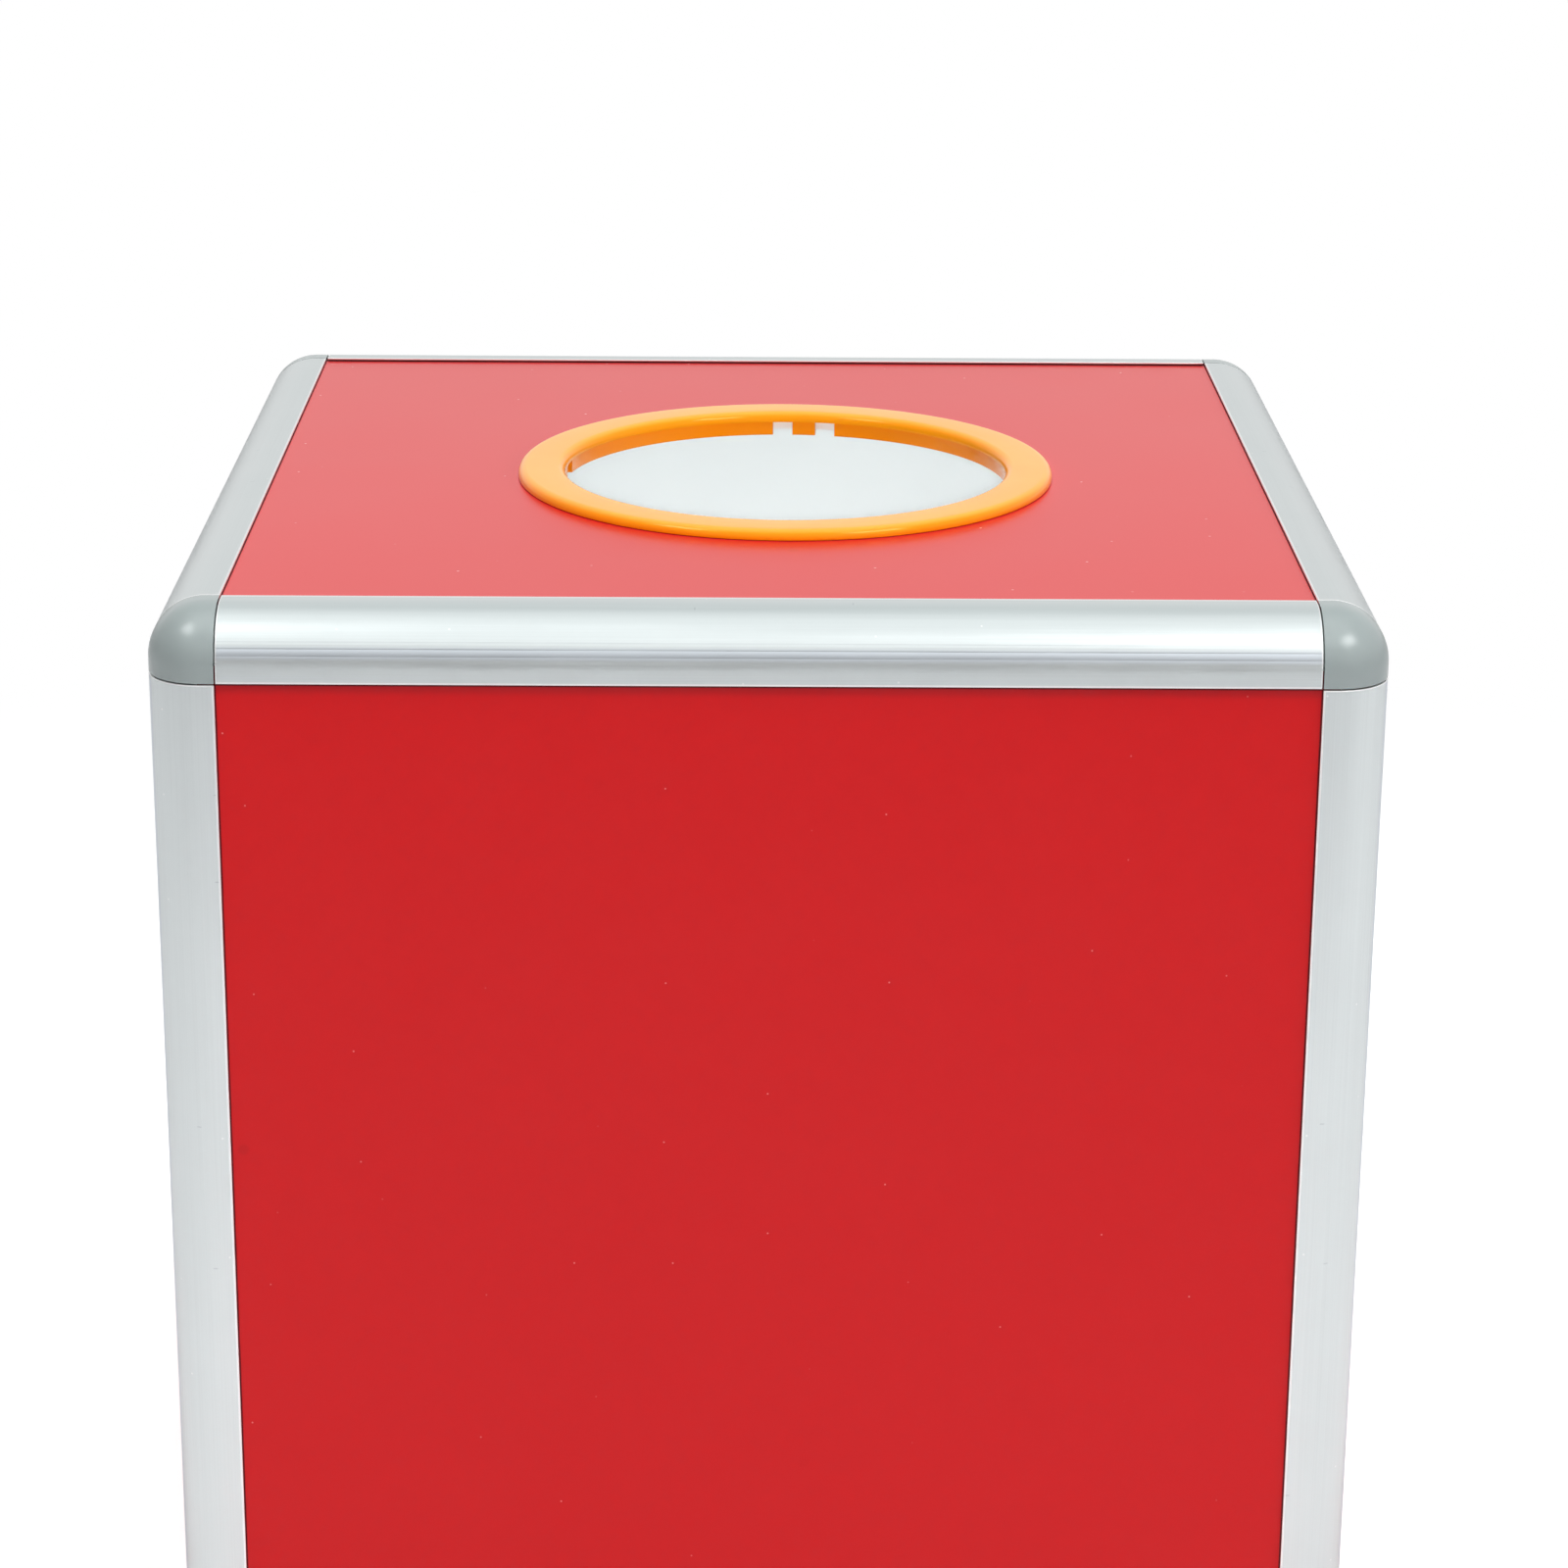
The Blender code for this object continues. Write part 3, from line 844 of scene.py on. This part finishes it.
white = (1.0, 1.0, 1.0)
studio = {
    "floorHalf": 9.0,
    "floorDrop": 0.2 * mm,
    "floorPale": (0.80, 0.81, 0.82),
    # painted falloff of the light: the floor is darker far in front of the box
    "floorDull": (0.57, 0.58, 0.59),     # far in front of the box
    "floorFade": (0.40, 0.95),           # distances over which the floor in front goes dull
    "floorCloud": (0.8, 0.04),           # scale and strength
    "floorGlow": 0.29,                   # added to the lit floor near the box, for the camera only
    "glowFade": (0.25, 0.70),            # distances over which the camera's floor turns plain white
    "worldLight": 0.25,
    "worldGloss": 0.89,                  # behind and beside the box, as metal and gloss show it
    "worldFront": 0.50,                  # the same, low in front of the box
    "worldAbove": 0.80,
    "worldLeft": 0.65,                   # share by which the left is darker, low down
    "skyTint": (0.945, 1.0, 1.0),
    # how far a way points to the front, up or left where that part of the world fades in
    "frontFade": (0.0, 0.9),
    "aboveFade": (0.15, 0.8),
    "leftFade": (0.5, 1.0),
    "aim": (0, 0, 0.2),
    # soft lamps: size, distance, azimuth from the front, elevation, light on a white card facing it
    "softLamps": {
        "overhead": (1.8, 2.4, 0, 84, 1.075),
        "right": (0.9, 2.4, 65, 25, 0.24),
    },
    # lamps that only gloss shows: width, height, distance, azimuth, elevation, brightness
    "glossLamps": {
        "lowStrip": (1.8, 0.9, 1.30, 0, 40, 0.35),
        "highStrip": (1.8, 1.0, 1.30, 0, 86, 0.27),
        "side": (0.9, 0.6, 1.30, 34, 15, 0.52),
        "spotRight": (0.46, 0.34, 1.30, 44, 45, 8.6),
        "spotLeft": (0.40, 0.40, 1.30, -57, 53, 6.3),
    },
    # small lamps, in line with the camera and inside the box: size, distance, light on a white card
    "axisLamp": (0.02, 1.1, 0.215),
    "insideLamp": (0.08, 0.20, 0.40),
    "insideDrop": 12.4 * mm,             # what the inside lamp aims at, down from the panel's face
}


def makeFloor():
    deselectAll()
    size = studio["floorHalf"] * 2
    bpy.ops.mesh.primitive_plane_add(size=size, location=(0, 0, -studio["floorDrop"]))
    floor = named("studioFloor")
    material = bpy.data.materials.new("studioFloor")
    board = Board(material)
    place = board.place()
    x, y = board.parts(place)[:2]
    # what the camera sees: lit and shaded near the box, plain white further off
    off = (x * x + y * y).math("SQRT")
    lit = board.node("ShaderNodeBsdfDiffuse", values={"Color": white})
    glowing = {"Color": white, "Strength": studio["floorGlow"]}
    glow = board.node("ShaderNodeEmission", values=glowing)
    near = board.node("ShaderNodeAddShader", values=[glow, lit])
    plain = board.node("ShaderNodeEmission", values={"Color": white, "Strength": 1.0})
    share = board.between(off, *studio["glowFade"])
    seen = board.node("ShaderNodeMixShader", values=[share, near, plain])
    # what lights the box and shows in its gloss
    scale, strength = studio["floorCloud"]
    cloud = board.noise(place, scale) - 0.5
    # painted falloff of the light: darker far in front of the box
    far = board.between(0 - y, *studio["floorFade"])
    tone = board.blend(far + cloud * strength, studio["floorPale"], studio["floorDull"])
    real = board.node("ShaderNodeBsdfDiffuse", values={"Color": tone})
    camera = board.ray("Is Camera Ray")
    board.show(board.node("ShaderNodeMixShader", values=[camera, real, seen]))
    floor.data.materials.append(material)


def makeWorld():
    world = bpy.data.worlds.new("studioWorld")
    bpy.context.scene.world = world
    board = Board(world, "ShaderNodeOutputWorld")

    def background(colour, strength):
        return board.node("ShaderNodeBackground", values={"Color": colour, "Strength": strength})

    across, ahead, up = board.parts(board.node("ShaderNodeTexCoord", out="Generated"))
    front = board.between(0 - ahead, *studio["frontFade"])
    high = board.between(up, *studio["aboveFade"])
    left = board.between(0 - across, *studio["leftFade"])
    low = studio["worldFront"] * front + studio["worldGloss"] * (1 - front)
    low = low * (1 - left * studio["worldLeft"])
    gloss = low * (1 - high) + studio["worldAbove"] * high
    shown = background(white, studio["worldLight"])
    shades = {
        "Is Glossy Ray": (board.blend(high, white, studio["skyTint"]), gloss),
        "Is Transmission Ray": (white, 1.0),
        "Is Camera Ray": (white, 1.0),
    }
    for kind, (colour, strength) in shades.items():
        values = [board.ray(kind), shown, background(colour, strength)]
        shown = board.node("ShaderNodeMixShader", values=values)
    board.show(shown)


def addLamp(name, wide, tall, place, target, power):
    lamp = bpy.data.lights.new(name, "AREA")
    lamp.shape = "RECTANGLE"
    lamp.size = wide
    lamp.size_y = tall
    lamp.energy = power
    holder = bpy.data.objects.new(name, lamp)
    bpy.context.scene.collection.objects.link(holder)
    holder.location = place
    holder.rotation_euler = (place - target).to_track_quat("Z", "Y").to_euler()
    holder.visible_camera = False
    return holder


def addSoftLamp(name, size, far, place, target, level):
    # level is the light that reaches a white card at the target
    lamp = addLamp(name, size, size, place, target, level * (math.pi * far) ** 2)
    lamp.visible_glossy = False


def awayFrom(target, azimuth, elevation, far):
    a, e = math.radians(azimuth), math.radians(elevation)
    way = Vector((math.sin(a) * math.cos(e), -math.cos(a) * math.cos(e), math.sin(e)))
    return target + far * way


def makeLamps():
    aim = Vector(studio["aim"])
    for name, (size, far, azimuth, elevation, level) in studio["softLamps"].items():
        addSoftLamp(name, size, far, awayFrom(aim, azimuth, elevation, far), aim, level)
    for name, (wide, tall, far, azimuth, elevation, bright) in studio["glossLamps"].items():
        place = awayFrom(aim, azimuth, elevation, far)
        lamp = addLamp(name, wide, tall, place, aim, bright * math.pi * wide * tall)
        lamp.visible_diffuse = False
    hole = ringSeat()
    wall = Vector((hole.x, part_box("back_panel")[0].y, hole.z - studio["insideDrop"]))
    corner = Vector((hole.x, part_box("front_panel")[1].y, 0))
    spots = {"axisLamp": (hole, Vector(view["place"])), "insideLamp": (wall, corner)}
    for name, (target, toward) in spots.items():
        size, far, level = studio[name]
        way = (toward - target).normalized()
        addSoftLamp(name, size, far, target + way * far, target, level)


view = {
    "place": (-0.004775, -0.91865, 0.476375),
    "lens": 95.553,
    "sensor": 36.0,
    "down": math.radians(18.213),
    "turn": math.radians(0.565),
    "roll": math.radians(-0.428),
}


def makeCamera():
    lens = bpy.data.cameras.new("camera")
    lens.lens = view["lens"]
    lens.sensor_width = view["sensor"]
    camera = bpy.data.objects.new("camera", lens)
    bpy.context.scene.collection.objects.link(camera)
    down, turn, roll = view["down"], view["turn"], view["roll"]
    level = Vector((math.sin(turn), math.cos(turn), 0))
    ahead = level * math.cos(down) - Vector((0, 0, math.sin(down)))
    right = Vector((math.cos(turn), -math.sin(turn), 0))
    below = ahead.cross(right)
    rightRolled = right * math.cos(roll) + below * math.sin(roll)
    belowRolled = below * math.cos(roll) - right * math.sin(roll)
    turned = Matrix((rightRolled, -belowRolled, -ahead)).transposed().to_4x4()
    camera.matrix_world = Matrix.Translation(view["place"]) @ turned
    bpy.context.scene.camera = camera


makeCamera()
makeWorld()
makeFloor()
makeLamps()
print("studio ready")

placeRails(makeRail(), paint("satinAluminium", satinAluminium))
print("rails ready")

placeConnectors(makeConnector(), paint("greyPlastic", greyPlastic))
print("connectors ready")

finishPiece(makeRing(), paint("orangePlastic", orangePlastic), "hole_ring")
print("ring ready")

dressPanels()
print("panels ready")

bpy.context.scene.view_settings.view_transform = "Standard"
deselectAll()
bpy.context.view_layer.update()
